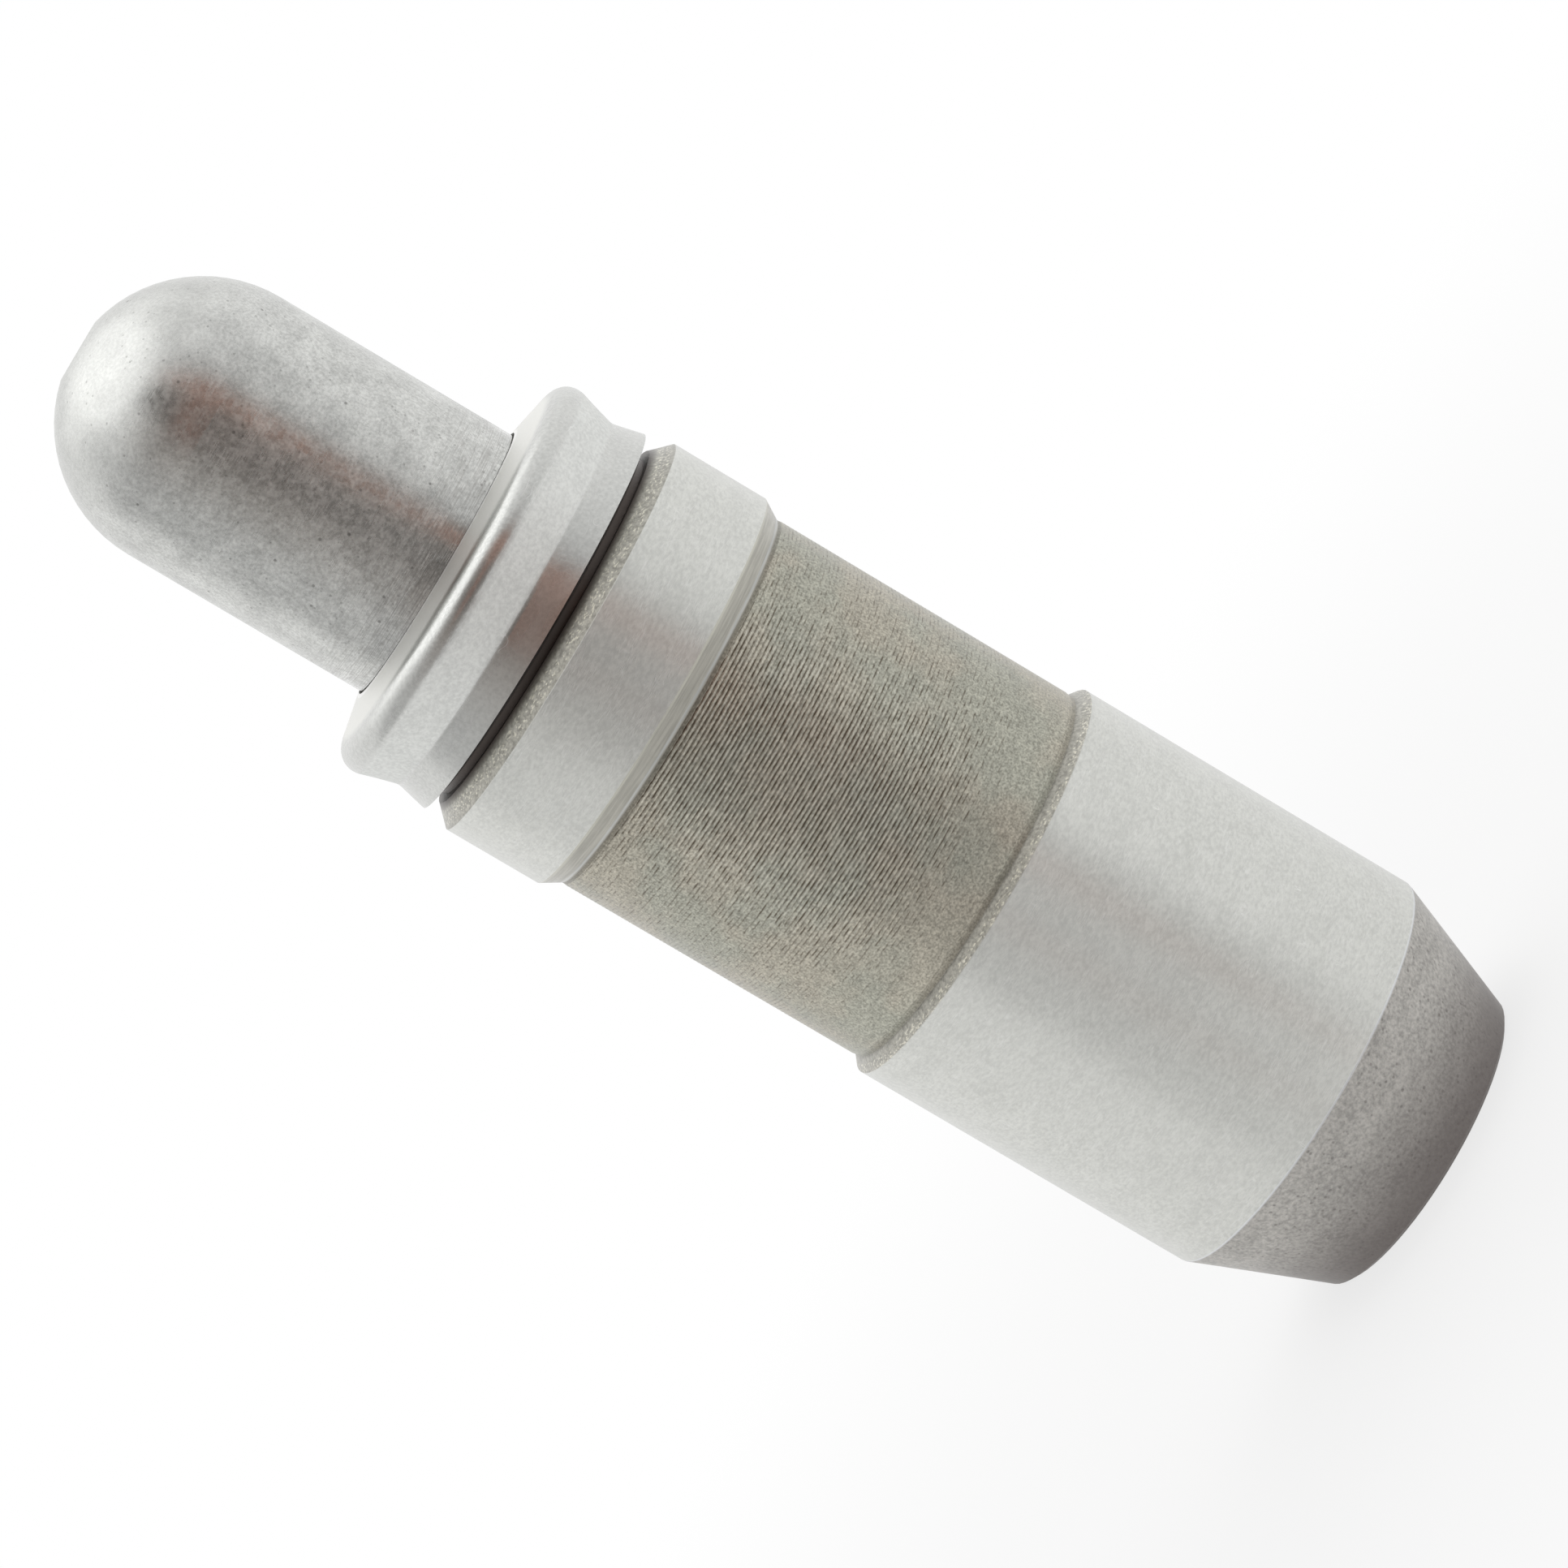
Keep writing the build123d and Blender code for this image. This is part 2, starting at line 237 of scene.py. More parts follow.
class LifterStage(bpy.types.PropertyGroup):
    """Camera, lamp, floor and card."""

    camera_place: position("Camera place", "Where the camera stands", (-0.35, -156.2, 41.3))
    camera_tilt: angle("Camera tilt", "How far the camera looks down", 7.72)
    camera_roll: angle("Camera roll", "Turn of the picture about the view", 30.60)
    lens: number("Lens", "Focal length on a 36 mm sensor", 134.2, unit="CAMERA")
    floor_size: length("Floor size", "Side of the square floor", 3000)
    floor_grey: factor("Floor grey", "How much light the lit floor gives back", 0.93)
    ambient: factor("Ambient", "Strength of the world on matt surfaces", 0.45)
    overhead: number("Overhead", "Brightness overhead, as the steel mirrors it", 1.6, min=1)
    lamp_power: number("Lamp power", "Power of the soft box overhead", 1.2, unit="POWER")
    lamp_size: length("Lamp size", "Side of the soft box overhead", 450)
    lamp_place: position("Lamp place", "Where the soft box hangs", (50, 170, 460))
    card_radius: length("Card radius", "Distance of the graded card from the axis", 60)
    card_height: length("Card height", "Height of the graded card", 136)
    card_tint: colour("Card tint", "Warm tint of the card", (1.0, 0.92, 0.87))
    streak_colour: colour("Card streak", "Rosy stripe on the card", (0.50, 0.25, 0.18))


# Small helpers for node trees

class Graph:
    """Adds and links the nodes of one tree, leaving each input at a value or a link."""

    def __init__(self, tree):
        self.tree = tree

    def node(self, kind, inputs=None, **settings):
        made = self.tree.nodes.new(kind)
        for name, value in settings.items():
            setattr(made, name, value)
        for key, value in (inputs or {}).items():
            self.feed(made.inputs[key], value)
        return made

    def feed(self, socket, value):
        if isinstance(value, bpy.types.NodeSocket):
            self.tree.links.new(value, socket)
        elif socket.type == "RGBA":
            socket.default_value = (*value, 1.0)
        else:
            socket.default_value = value

    def math(self, operation, *values):
        made = self.node("ShaderNodeMath", operation=operation)
        for socket, value in zip(made.inputs, values):
            self.feed(socket, value)
        return made.outputs[0]

    def plus(self, first, second):
        return self.math("ADD", first, second)

    def minus(self, first, second):
        return self.math("SUBTRACT", first, second)

    def times(self, first, second):
        return self.math("MULTIPLY", first, second)

    def over(self, first, second):
        return self.math("DIVIDE", first, second)

    def clamp(self, value, low, high):
        return self.math("MINIMUM", self.math("MAXIMUM", value, low), high)

    def ramp(self, value, low, high, to_low=0.0, to_high=1.0):
        made = self.node("ShaderNodeMapRange", {"Value": value, "From Min": low, "From Max": high,
                                                "To Min": to_low, "To Max": to_high},
                         interpolation_type="SMOOTHSTEP")
        return made.outputs[0]

    def spread(self, noise, dark, bright):
        """Runs from one value where a noise is dark to another where it is bright."""
        return self.ramp(noise, NOISE_LOW, NOISE_HIGH, dark, bright)

    def window(self, value, rise, fall, top=1.0):
        """Rises over one span of the value and falls over a later one."""
        return self.times(self.ramp(value, *rise), self.ramp(value, *fall, top, 0.0))

    def mix(self, share, first, second):
        made = self.node("ShaderNodeMix", {"Factor": share}, data_type="FLOAT")
        self.feed(made.inputs[2], first)
        self.feed(made.inputs[3], second)
        return made.outputs[0]

    def mix_colour(self, share, first, second, blend="MIX"):
        made = self.node("ShaderNodeMix", {"Factor": share}, data_type="RGBA", blend_type=blend)
        self.feed(made.inputs[6], first)
        self.feed(made.inputs[7], second)
        return made.outputs[2]

    def parts(self, vector):
        made = self.node("ShaderNodeSeparateXYZ", {"Vector": vector})
        return made.outputs["X"], made.outputs["Y"], made.outputs["Z"]

    def vector(self, x, y, z):
        return self.node("ShaderNodeCombineXYZ", {"X": x, "Y": y, "Z": z}).outputs[0]

    def object_place(self):
        return self.node("ShaderNodeTexCoord").outputs["Object"]

    def effect(self, name, **inputs):
        """Places a shared effect, whose group is built the first time it is asked for."""
        tree = bpy.data.node_groups.get(name) or EFFECTS[name](name)
        named = {key.capitalize(): value for key, value in inputs.items()}
        return self.node("ShaderNodeGroup", named, node_tree=tree).outputs[0]

    def grain(self, place, pattern):
        along, around, detail, seed = GRAINS[pattern]
        return self.effect("Grain", place=place, along=along * MM, around=around * MM, detail=detail,
                           seed=seed)

    def shade(self, base, amount, value):
        return self.effect("Shade", base=base, amount=amount, value=value)


def fresh_graph(data):
    """Graph of a new material's or world's tree, emptied."""
    data.use_nodes = True
    data.node_tree.nodes.clear()
    return Graph(data.node_tree)


def show(graph, shader, output="ShaderNodeOutputMaterial"):
    """Puts a shader on the surface, or on the world's."""
    graph.feed(graph.node(output).inputs["Surface"], shader.outputs[0])


def new_group(name, inputs, output, result=float):
    """Empty shader group with named inputs, given as {name: default}, and one output."""
    kinds = {float: "NodeSocketFloat", tuple: "NodeSocketColor", Vector: "NodeSocketVector"}
    tree = bpy.data.node_groups.new(name, "ShaderNodeTree")
    for key, default in inputs.items():
        socket = tree.interface.new_socket(key, in_out="INPUT", socket_type=kinds[type(default)])
        socket.default_value = default
    tree.interface.new_socket(output, in_out="OUTPUT", socket_type=kinds[result])
    graph = Graph(tree)
    source = graph.node("NodeGroupInput")
    sink = graph.node("NodeGroupOutput")
    return graph, source.outputs, sink.inputs[0]


# Effects that several finishes share

def build_grain(name):
    """Soft noise with its own size along the axis and around it."""
    graph, source, sink = new_group(name, {"Place": ORIGIN, "Along": 0.1 * MM, "Around": 0.1 * MM,
                                           "Detail": 2.0, "Seed": 0.0}, "Value")
    along = graph.over(1.0, source["Along"])
    around = graph.over(1.0, source["Around"])
    scale = graph.vector(around, around, along)
    stretched = graph.node("ShaderNodeVectorMath", {0: source["Place"], 1: scale}, operation="MULTIPLY")
    noise = graph.node("ShaderNodeTexNoise", {"Vector": stretched.outputs[0], "W": source["Seed"],
                                              "Scale": 1.0, "Detail": source["Detail"], "Roughness": 0.6},
                       noise_dimensions="4D")
    graph.feed(sink, noise.outputs[0])
    return graph.tree


def build_specks(name):
    """Scattered round marks: one in each chosen cell of a random pattern."""
    graph, source, sink = new_group(name, {"Place": ORIGIN, "Spacing": 0.5 * MM, "Size": 0.05 * MM,
                                           "Share": 0.3}, "Mask")
    cells = graph.node("ShaderNodeTexVoronoi", {"Vector": source["Place"],
                                                "Scale": graph.over(1.0, source["Spacing"])})
    reach = graph.over(source["Size"], source["Spacing"])
    inside = graph.ramp(cells.outputs["Distance"], reach, graph.times(reach, 0.5))
    draw = graph.node("ShaderNodeSeparateColor", {"Color": cells.outputs["Color"]}).outputs[0]
    chosen = graph.math("LESS_THAN", draw, source["Share"])
    graph.feed(sink, graph.times(inside, chosen))
    return graph.tree


def build_scratches(name):
    """Thin lines where a stretched noise crosses its middle, broken up by a coarser one."""
    graph, source, sink = new_group(name, {"Place": ORIGIN, "Along": 0.05 * MM, "Around": 1.0 * MM,
                                           "Width": 0.02, "Share": 0.4, "Seed": 0.0}, "Mask")
    lines = graph.effect("Grain", place=source["Place"], along=source["Along"], around=source["Around"],
                         detail=0.0, seed=source["Seed"])
    apart = graph.math("ABSOLUTE", graph.minus(lines, 0.5))
    thin = graph.ramp(apart, source["Width"], 0.0)
    broken = graph.effect("Grain", place=source["Place"], along=0.6 * MM, around=0.9 * MM, detail=1.0,
                          seed=graph.plus(source["Seed"], 5.0))
    threshold = graph.minus(0.75, graph.times(source["Share"], 0.5))
    kept = graph.ramp(broken, threshold, graph.plus(threshold, 0.08))
    graph.feed(sink, graph.times(thin, kept))
    return graph.tree


def build_band(name):
    """One between two heights and zero outside, with soft ends."""
    graph, source, sink = new_group(name, {"Place": ORIGIN, "Low": 0.0, "High": 1.0, "Blur": 0.02 * MM},
                                    "Mask")
    height = graph.parts(source["Place"])[2]
    half = graph.times(source["Blur"], 0.5)
    low, high = source["Low"], source["High"]
    rise = graph.ramp(height, graph.minus(low, half), graph.plus(low, half))
    fall = graph.ramp(height, graph.plus(high, half), graph.minus(high, half))
    graph.feed(sink, graph.times(rise, fall))
    return graph.tree


def build_shade(name):
    """The base colour made darker and lighter by a value that lies about one half."""
    graph, source, sink = new_group(name, {"Base": GREY, "Amount": 0.1, "Value": 0.5}, "Colour", tuple)
    amount = source["Amount"]
    level = graph.spread(source["Value"], graph.minus(1.0, amount), graph.plus(1.0, amount))
    tint = graph.node("ShaderNodeCombineColor", {"Red": level, "Green": level, "Blue": level})
    graph.feed(sink, graph.mix_colour(1.0, source["Base"], tint.outputs[0], "MULTIPLY"))
    return graph.tree


def build_groove_skin(name):
    """Brown-grey skin with olive clouds, fine pores and a sandy grain."""
    graph, source, sink = new_group(name, {"Place": ORIGIN, "Brown": GREY, "Olive": GREY}, "Colour", tuple)
    clouds, pores, coarse, sand = (graph.grain(source["Place"], pattern)
                                   for pattern in ("olive clouds", "pores", "ground coarse", "sand"))
    skin = graph.mix_colour(graph.ramp(clouds, 0.40, 0.60), source["Brown"], source["Olive"])
    skin = graph.shade(skin, 0.20, graph.mix(0.25, pores, coarse))
    graph.feed(sink, graph.shade(skin, 0.24, sand))
    return graph.tree


EFFECTS = {"Grain": build_grain, "Specks": build_specks, "Scratches": build_scratches, "Band": build_band,
           "Shade": build_shade, "Groove skin": build_groove_skin}


# Materials

class Finish:
    """A metal material being built: its graph, its object coordinates and its shader."""

    def __init__(self, name, anisotropic=0.0):
        self.material = bpy.data.materials.new(name)
        self.graph = fresh_graph(self.material)
        self.place = self.graph.object_place()
        self.height = self.graph.parts(self.place)[2]
        # Grinding and turning lines run round the piece, so they blur a reflection along the axis.
        self.shader = self.graph.node("ShaderNodeBsdfPrincipled", {
            "Metallic": 1.0, "Anisotropic": anisotropic, "Anisotropic Rotation": 0.25})
        show(self.graph, self.shader)

    def grain(self, pattern):
        return self.graph.grain(self.place, pattern)

    def specks(self, pattern):
        spacing, size, share = SPECKS[pattern]
        return self.graph.effect("Specks", place=self.place, spacing=spacing * MM, size=size * MM,
                                 share=share)

    def scratches(self, pattern):
        along, around, width, share, seed = SCRATCHES[pattern]
        return self.graph.effect("Scratches", place=self.place, along=along * MM, around=around * MM,
                                 width=width, share=share, seed=seed)

    def band(self, low, high, blur=0.02):
        return self.graph.effect("Band", place=self.place, low=low, high=high, blur=blur * MM)

    def line(self, height, under, over, blur=0.03):
        """Narrow band about a height, from so many millimetres of it to so many."""
        return self.band(height + under * MM, height + over * MM, blur)

    def fade(self, height, start, end):
        """Full at the start above a height and gone at the end, both in millimetres."""
        return self.graph.ramp(self.height, height + start * MM, height + end * MM, 1.0, 0.0)

    def layer(self, base, layers):
        """Lays (mask, strength, colour) over the base one after another."""
        for mask, strength, shade in layers:
            base = self.graph.mix_colour(self.graph.times(mask, strength), base, shade)
        return base

    def finish(self, base, roughness, height, depth):
        """Feeds the shader. The depth is the bump's size in millimetres where the height is one."""
        self.graph.feed(self.shader.inputs["Base Color"], base)
        self.graph.feed(self.shader.inputs["Roughness"], roughness)
        bump = self.graph.node("ShaderNodeBump", {"Strength": 1.0, "Distance": depth * MM, "Height": height})
        self.graph.feed(self.shader.inputs["Normal"], bump.outputs[0])
        return self.material


def groove_skin(finish, colours):
    """The groove's colour, which the body and the feed marks share."""
    return finish.graph.effect("Groove skin", place=finish.place, brown=colours.groove,
                               olive=colours.groove_olive)


def body_steel(sizes, colours):
    """Ground lands, a turned groove, bright bevels and a dark foot, told apart by height, with painted glints
    and highlights on the bevels and edges, and painted shade in the groove's roots, under the cap's edge and
    towards the foot's end.
    """
    finish = Finish("body_steel", anisotropic=0.65)
    graph = finish.graph
    fine = finish.grain("ground fine")
    coarse = finish.grain("ground coarse")
    pores = finish.grain("pores")
    foot_pores = finish.grain("foot pores")
    lines = finish.scratches("grinding lines")

    step_start = sizes.groove_low - sizes.lower_bevel
    bevel_end = sizes.groove_high + sizes.upper_bevel
    shoulder_middle = sizes.land_top + 0.6 * sizes.shoulder_bevel
    shoulder_end = sizes.land_top + sizes.shoulder_bevel
    on_groove = finish.band(sizes.groove_low, sizes.groove_high)
    on_foot = finish.band(BELOW, sizes.foot_end)
    on_step = finish.band(step_start, sizes.groove_low)
    on_bevel = finish.band(sizes.groove_high, bevel_end)
    on_neck = finish.band(sizes.land_top + 0.01 * MM, ABOVE)
    on_painted_glint = finish.band(sizes.land_top + 0.08 * MM, sizes.land_top + 0.7 * sizes.shoulder_bevel, 0.08)

    bevel = graph.shade(colours.bevel, 0.25, pores)
    # Painted glints: bright sparks painted over the bevels' colour.
    glint_sparks = graph.ramp(finish.grain("painted_glint"), 0.52, 0.68)
    painted_glint = finish.layer(bevel, ((glint_sparks, 0.6, GLINT_HIGHLIGHT),))
    # Painted shade: the shoulder darkens towards the cap's edge, where the cap shades it.
    under_cap_shade = graph.ramp(finish.height, shoulder_middle, shoulder_end)
    shoulder = graph.mix_colour(under_cap_shade, bevel, colours.shoulder)
    # Later layers lie over earlier ones.
    base = finish.layer(land_skin(finish, colours, fine, coarse, lines), (
        (on_groove, 1.0, groove_skin(finish, colours)),
        (on_foot, 1.0, foot_skin(finish, sizes, colours, foot_pores, coarse)),
        # Painted highlight: a bright line where the foot's taper meets the lower land.
        (finish.line(sizes.foot_end, -0.03, 0.03), 0.5, FOOT_EDGE_HIGHLIGHT),
        (on_step, 1.0, bevel),
        # Painted shade in the groove's root at its lower end.
        (finish.line(sizes.groove_low, -0.03, 0.13, 0.06), 0.3, ROOT_PAINTED_SHADE),
        # Painted glints along the lower bevel, next to the land.
        (finish.line(step_start, -0.02, 0.15, 0.05), 1.0, painted_glint),
        # The shoulder, with its painted shade under the cap.
        (on_neck, 1.0, shoulder),
        # Painted glints on the shoulder's bevel, next to the upper land.
        (on_painted_glint, 1.0, painted_glint),
        (on_bevel, 1.0, graph.shade(colours.bevel, 0.14, finish.grain("bevel turning"))),
        # Painted shade in the groove's root at its upper end.
        (finish.line(sizes.groove_high, -0.10, 0.025), 0.5, ROOT_PAINTED_SHADE),
        # Painted highlight: a cool bright line on the upper bevel just over the groove's top.
        (finish.line(sizes.groove_high, 0.05, 0.11), 0.3, COOL_EDGE_HIGHLIGHT),
        # Painted highlight: a warm pale line where the upper bevel meets the upper land.
        (finish.line(bevel_end, -0.06, 0.01), 0.3, WARM_EDGE_HIGHLIGHT)))

    rough = graph.spread(fine, 0.32, 0.38)
    for mask, value in ((on_groove, graph.spread(pores, 0.38, 0.5)),
                        (on_foot, graph.spread(foot_pores, 0.44, 0.56)),
                        (on_step, 0.40),
                        (on_neck, 0.40)):
        rough = graph.mix(mask, rough, value)

    relief = graph.mix(0.5, fine, lines)
    for mask, grain, height in ((on_groove, pores, 4.0), (on_foot, foot_pores, 5.0),
                                (on_step, pores, 4.0), (on_neck, pores, 3.0)):
        relief = graph.mix(mask, relief, graph.times(grain, height))
    return finish.finish(base, rough, relief, 0.0025)


def land_skin(finish, colours, fine, coarse, lines):
    """Pale ground steel with fine grinding lines and a few bright nicks."""
    land = finish.graph.shade(colours.land, 0.11, finish.graph.mix(0.25, fine, coarse))
    return finish.layer(land, ((lines, 0.3, GRINDING_LINE),
                               (finish.scratches("land nicks"), 0.5, LAND_NICK)))


def foot_skin(finish, sizes, colours, pores, coarse):
    """Dark mottled skin with pits, and painted shade that darkens it towards the foot's end."""
    foot = finish.graph.shade(colours.foot, 0.34, finish.graph.mix(0.25, pores, coarse))
    # Painted shade: the foot darkens towards its end, next to the floor.
    painted_shade_to_end = finish.graph.ramp(finish.height, 0.0, sizes.foot_painted_shade, 1.0, 0.0)
    return finish.layer(foot, ((finish.specks("foot pits"), 0.4, FOOT_PIT),
                               (painted_shade_to_end, 0.8, FOOT_PAINTED_SHADE)))


def groove_steel(colours):
    """The groove's skin on the feed marks, with painted highlights on their crests, and valleys darkened
    partly by oxide and partly by painted shade.
    """
    finish = Finish("groove_steel")
    graph = finish.graph
    pores = finish.grain("pores")
    crest = graph.node("ShaderNodeAttribute", attribute_name="crest").outputs["Fac"]
    cut = graph.plus(crest, graph.spread(finish.grain("broken rings"), -0.30, 0.30))
    base = finish.layer(groove_skin(finish, colours), (
        # Painted highlights on the crests, and dark valleys that are partly oxide and partly painted shade.
        (graph.ramp(cut, 0.45, 1.0), 0.55, RING_CREST_HIGHLIGHT),
        (graph.ramp(cut, -0.95, -0.15, 1.0, 0.0), 0.93, RING_VALLEY_OXIDE_AND_SHADE)))
    return finish.finish(base, graph.spread(pores, 0.28, 0.42), pores, 0.010)


def cap_steel(sizes, colours):
    """Bright sheet with a rougher waist painted pale as a reflection of the floor, a brushed crown with a
    painted highlight, a painted highlight on the rim and a few nicks.
    """
    finish = Finish("cap_steel")
    graph = finish.graph
    fine = finish.grain("sheet fine")
    coarse = finish.grain("sheet coarse")
    nicks = finish.scratches("cap nicks")
    waist = finish.band(sizes.waist_low, sizes.waist_high, 0.12)
    crown = finish.band(sizes.crown_start, ABOVE, 0.08)
    # Painted highlight: a bright line round the cap's inner rim.
    rim = finish.band(CAP_TOP - 0.025 * MM, ABOVE, 0.015)
    # Painted reflection: the rubbed waist band is painted paler where it faces the white floor.
    sheet = graph.mix_colour(waist, colours.cap, colours.waist)
    base = finish.layer(graph.shade(sheet, 0.10, graph.mix(0.3, fine, coarse)), (
        (nicks, 0.5, CAP_NICK),
        # Painted highlight on the brushed crown.
        (crown, 0.8, CAP_CROWN_HIGHLIGHT),
        (rim, 0.8, CAP_RIM_HIGHLIGHT)))
    rough = graph.mix(waist, graph.spread(coarse, 0.22, 0.30), 0.60)
    rough = graph.mix(crown, rough, 0.5)
    return finish.finish(base, rough, graph.mix(0.3, fine, nicks), 0.004)


def plunger_steel(colours):
    """Satin steel with a cloudy tone and dark specks, rubbed bright where it enters the cap, with dark rings
    there that are partly wear and partly painted shade.
    """
    finish = Finish("plunger_steel")
    graph = finish.graph
    clouds = finish.grain("satin clouds")
    mottle = finish.grain("satin mottle")
    fine = finish.grain("satin fine")
    on_ball = graph.ramp(finish.height, BALL_HEIGHT - 0.03 * MM, BALL_HEIGHT + 0.03 * MM)
    tip = graph.ramp(finish.height, BALL_HEIGHT + 0.5 * MM, BALL_HEIGHT + 2.5 * MM)
    # Rubbed rings above the cap, darkened partly as wear and partly as painted shade from the cap's rim.
    rings = graph.times(finish.fade(CAP_TOP, 0.4, 2.6), finish.scratches("rubbed rings"))
    base = graph.shade(colours.plunger, 0.18, graph.mix(0.4, clouds, mottle))
    base = finish.layer(graph.shade(base, 0.12, fine), (
        (on_ball, 0.08, BALL_POLISH),
        (tip, 0.45, colours.plunger),
        (finish.specks("plunger pits"), 0.55, PLUNGER_PIT),
        (finish.specks("plunger dots"), 0.35, PLUNGER_DOT),
        (rings, 0.45, RUBBED_RING_AND_SHADE)))
    rough = graph.mix(finish.fade(CAP_TOP, 0.3, 1.0), graph.spread(mottle, 0.23, 0.34), 0.15)
    relief = graph.plus(graph.mix(0.5, mottle, fine), graph.times(finish.scratches("turned lines"), -0.2))
    relief = graph.times(relief, graph.mix(tip, 1.0, 0.45))
    return finish.finish(base, rough, relief, 0.0035)


def plain_steel(name, shade, pattern, contrast, smooth, dull, depth):
    """Steel of one colour with a single pattern, which also moves its roughness between two values."""
    finish = Finish(name)
    grain = finish.grain(pattern)
    base = finish.graph.shade(shade, contrast, grain)
    return finish.finish(base, finish.graph.spread(grain, smooth, dull), grain, depth)


def dress(node, material):
    """Gives a CAD node its finish."""
    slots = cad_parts[node].data.materials
    slots.clear()
    slots.append(material)


# Geometry Nodes trees, and the way their result is kept

def new_tree(name, floats, integers):
    """Empty Geometry Nodes tree with named number inputs."""
    tree = bpy.data.node_groups.new(name, "GeometryNodeTree")
    tree.interface.new_socket("Geometry", in_out="OUTPUT", socket_type="NodeSocketGeometry")
    for kind, names in (("NodeSocketFloat", floats), ("NodeSocketInt", integers)):
        for key in names:
            tree.interface.new_socket(key, in_out="INPUT", socket_type=kind)
    graph = Graph(tree)
    return graph, graph.node("NodeGroupInput").outputs


def close_tree(graph, geometry, material):
    """Ends a tree in plain geometry with one material."""
    real = graph.node("GeometryNodeRealizeInstances", {"Geometry": geometry})
    done = graph.node("GeometryNodeSetMaterial", {"Geometry": real.outputs[0], "Material": material})
    graph.feed(graph.node("NodeGroupOutput").inputs[0], done.outputs[0])
    return graph.tree


def point_parts(graph):
    return graph.parts(graph.node("GeometryNodeInputPosition").outputs[0])


def moved(graph, geometry, place):
    return graph.node("GeometryNodeSetPosition", {"Geometry": geometry, "Position": place}).outputs[0]


def from_hole(graph, size, x, height):
    """Distance from the hole's axis, which runs along Y."""
    rise = graph.minus(height, size["Hole Height"])
    return graph.math("SQRT", graph.plus(graph.math("POWER", x, 2.0), graph.math("POWER", rise, 2.0)))


def feed_mark_tree(material):
    """Sleeve with the fine thread that a turning tool leaves, opened round a hole on the +Y side."""
    graph, size = new_tree("Feed marks",
                           ("Radius", "Bottom", "Top", "Pitch", "Mark Height", "Fade Length", "Sink",
                            "Hole Height", "Hole Radius", "Blunt Share", "Even Share"), ("Sides", "Steps"))
    marks = graph.math("FLOOR", graph.over(graph.minus(size["Top"], size["Bottom"]), size["Pitch"]))
    tall = graph.times(marks, size["Pitch"])
    sleeve = graph.node("GeometryNodeMeshCylinder",
                        {"Vertices": size["Sides"], "Side Segments": graph.times(marks, size["Steps"]),
                         "Radius": size["Radius"], "Depth": tall}, fill_type="NONE")
    x, y, z = point_parts(graph)
    from_low = graph.plus(z, graph.over(tall, 2.0))
    from_high = graph.minus(tall, from_low)
    height = graph.plus(from_low, size["Bottom"])

    # The marks are crispest at the front and the back, and grow from the groove's bottom.
    turned = graph.times(graph.over(from_low, size["Pitch"]), math.tau)
    phase = graph.minus(turned, graph.math("ARCTAN2", y, x))
    wave = graph.math("COSINE", phase)
    front_and_back = graph.math("COSINE", graph.times(graph.math("ARCTAN2", x, y), 2.0))
    crisp = graph.ramp(front_and_back, -0.4, 1.0, size["Blunt Share"], 1.0)
    faded = graph.ramp(from_low, 0.0, size["Fade Length"], 0.1, 1.0)
    crest = graph.times(wave, graph.times(crisp, faded))
    grain = graph.node("ShaderNodeTexNoise", {"Scale": 900.0, "Detail": 2.0})
    uneven = graph.spread(grain.outputs[0], size["Even Share"], 1.0)
    rise = graph.times(graph.times(crest, size["Mark Height"]), uneven)

    # At its ends and round the hole the sleeve sinks under the body's own skin.
    clear = graph.plus(from_hole(graph, size, x, height), graph.math("LESS_THAN", y, 0.0))
    from_rim = graph.minus(clear, graph.plus(size["Hole Radius"], 0.3 * MM))
    end = graph.math("MINIMUM", graph.math("MINIMUM", from_low, from_high), from_rim)
    sunk = graph.ramp(end, 0.0, size["Pitch"], size["Sink"], 0.0)
    grow = graph.plus(graph.over(graph.minus(rise, sunk), size["Radius"]), 1.0)
    marked = graph.node("GeometryNodeStoreNamedAttribute",
                        {"Geometry": sleeve.outputs["Mesh"], "Name": "crest", "Value": crest},
                        data_type="FLOAT", domain="POINT")
    waved = moved(graph, marked.outputs[0], graph.vector(graph.times(x, grow), graph.times(y, grow), height))

    x, y, z = point_parts(graph)
    in_hole = graph.math("LESS_THAN", from_hole(graph, size, x, z), size["Hole Radius"])
    in_hole = graph.times(in_hole, graph.math("GREATER_THAN", y, 0.0))
    opened = graph.node("GeometryNodeDeleteGeometry", {"Geometry": waved, "Selection": in_hole},
                        domain="POINT")
    return close_tree(graph, opened.outputs[0], material)


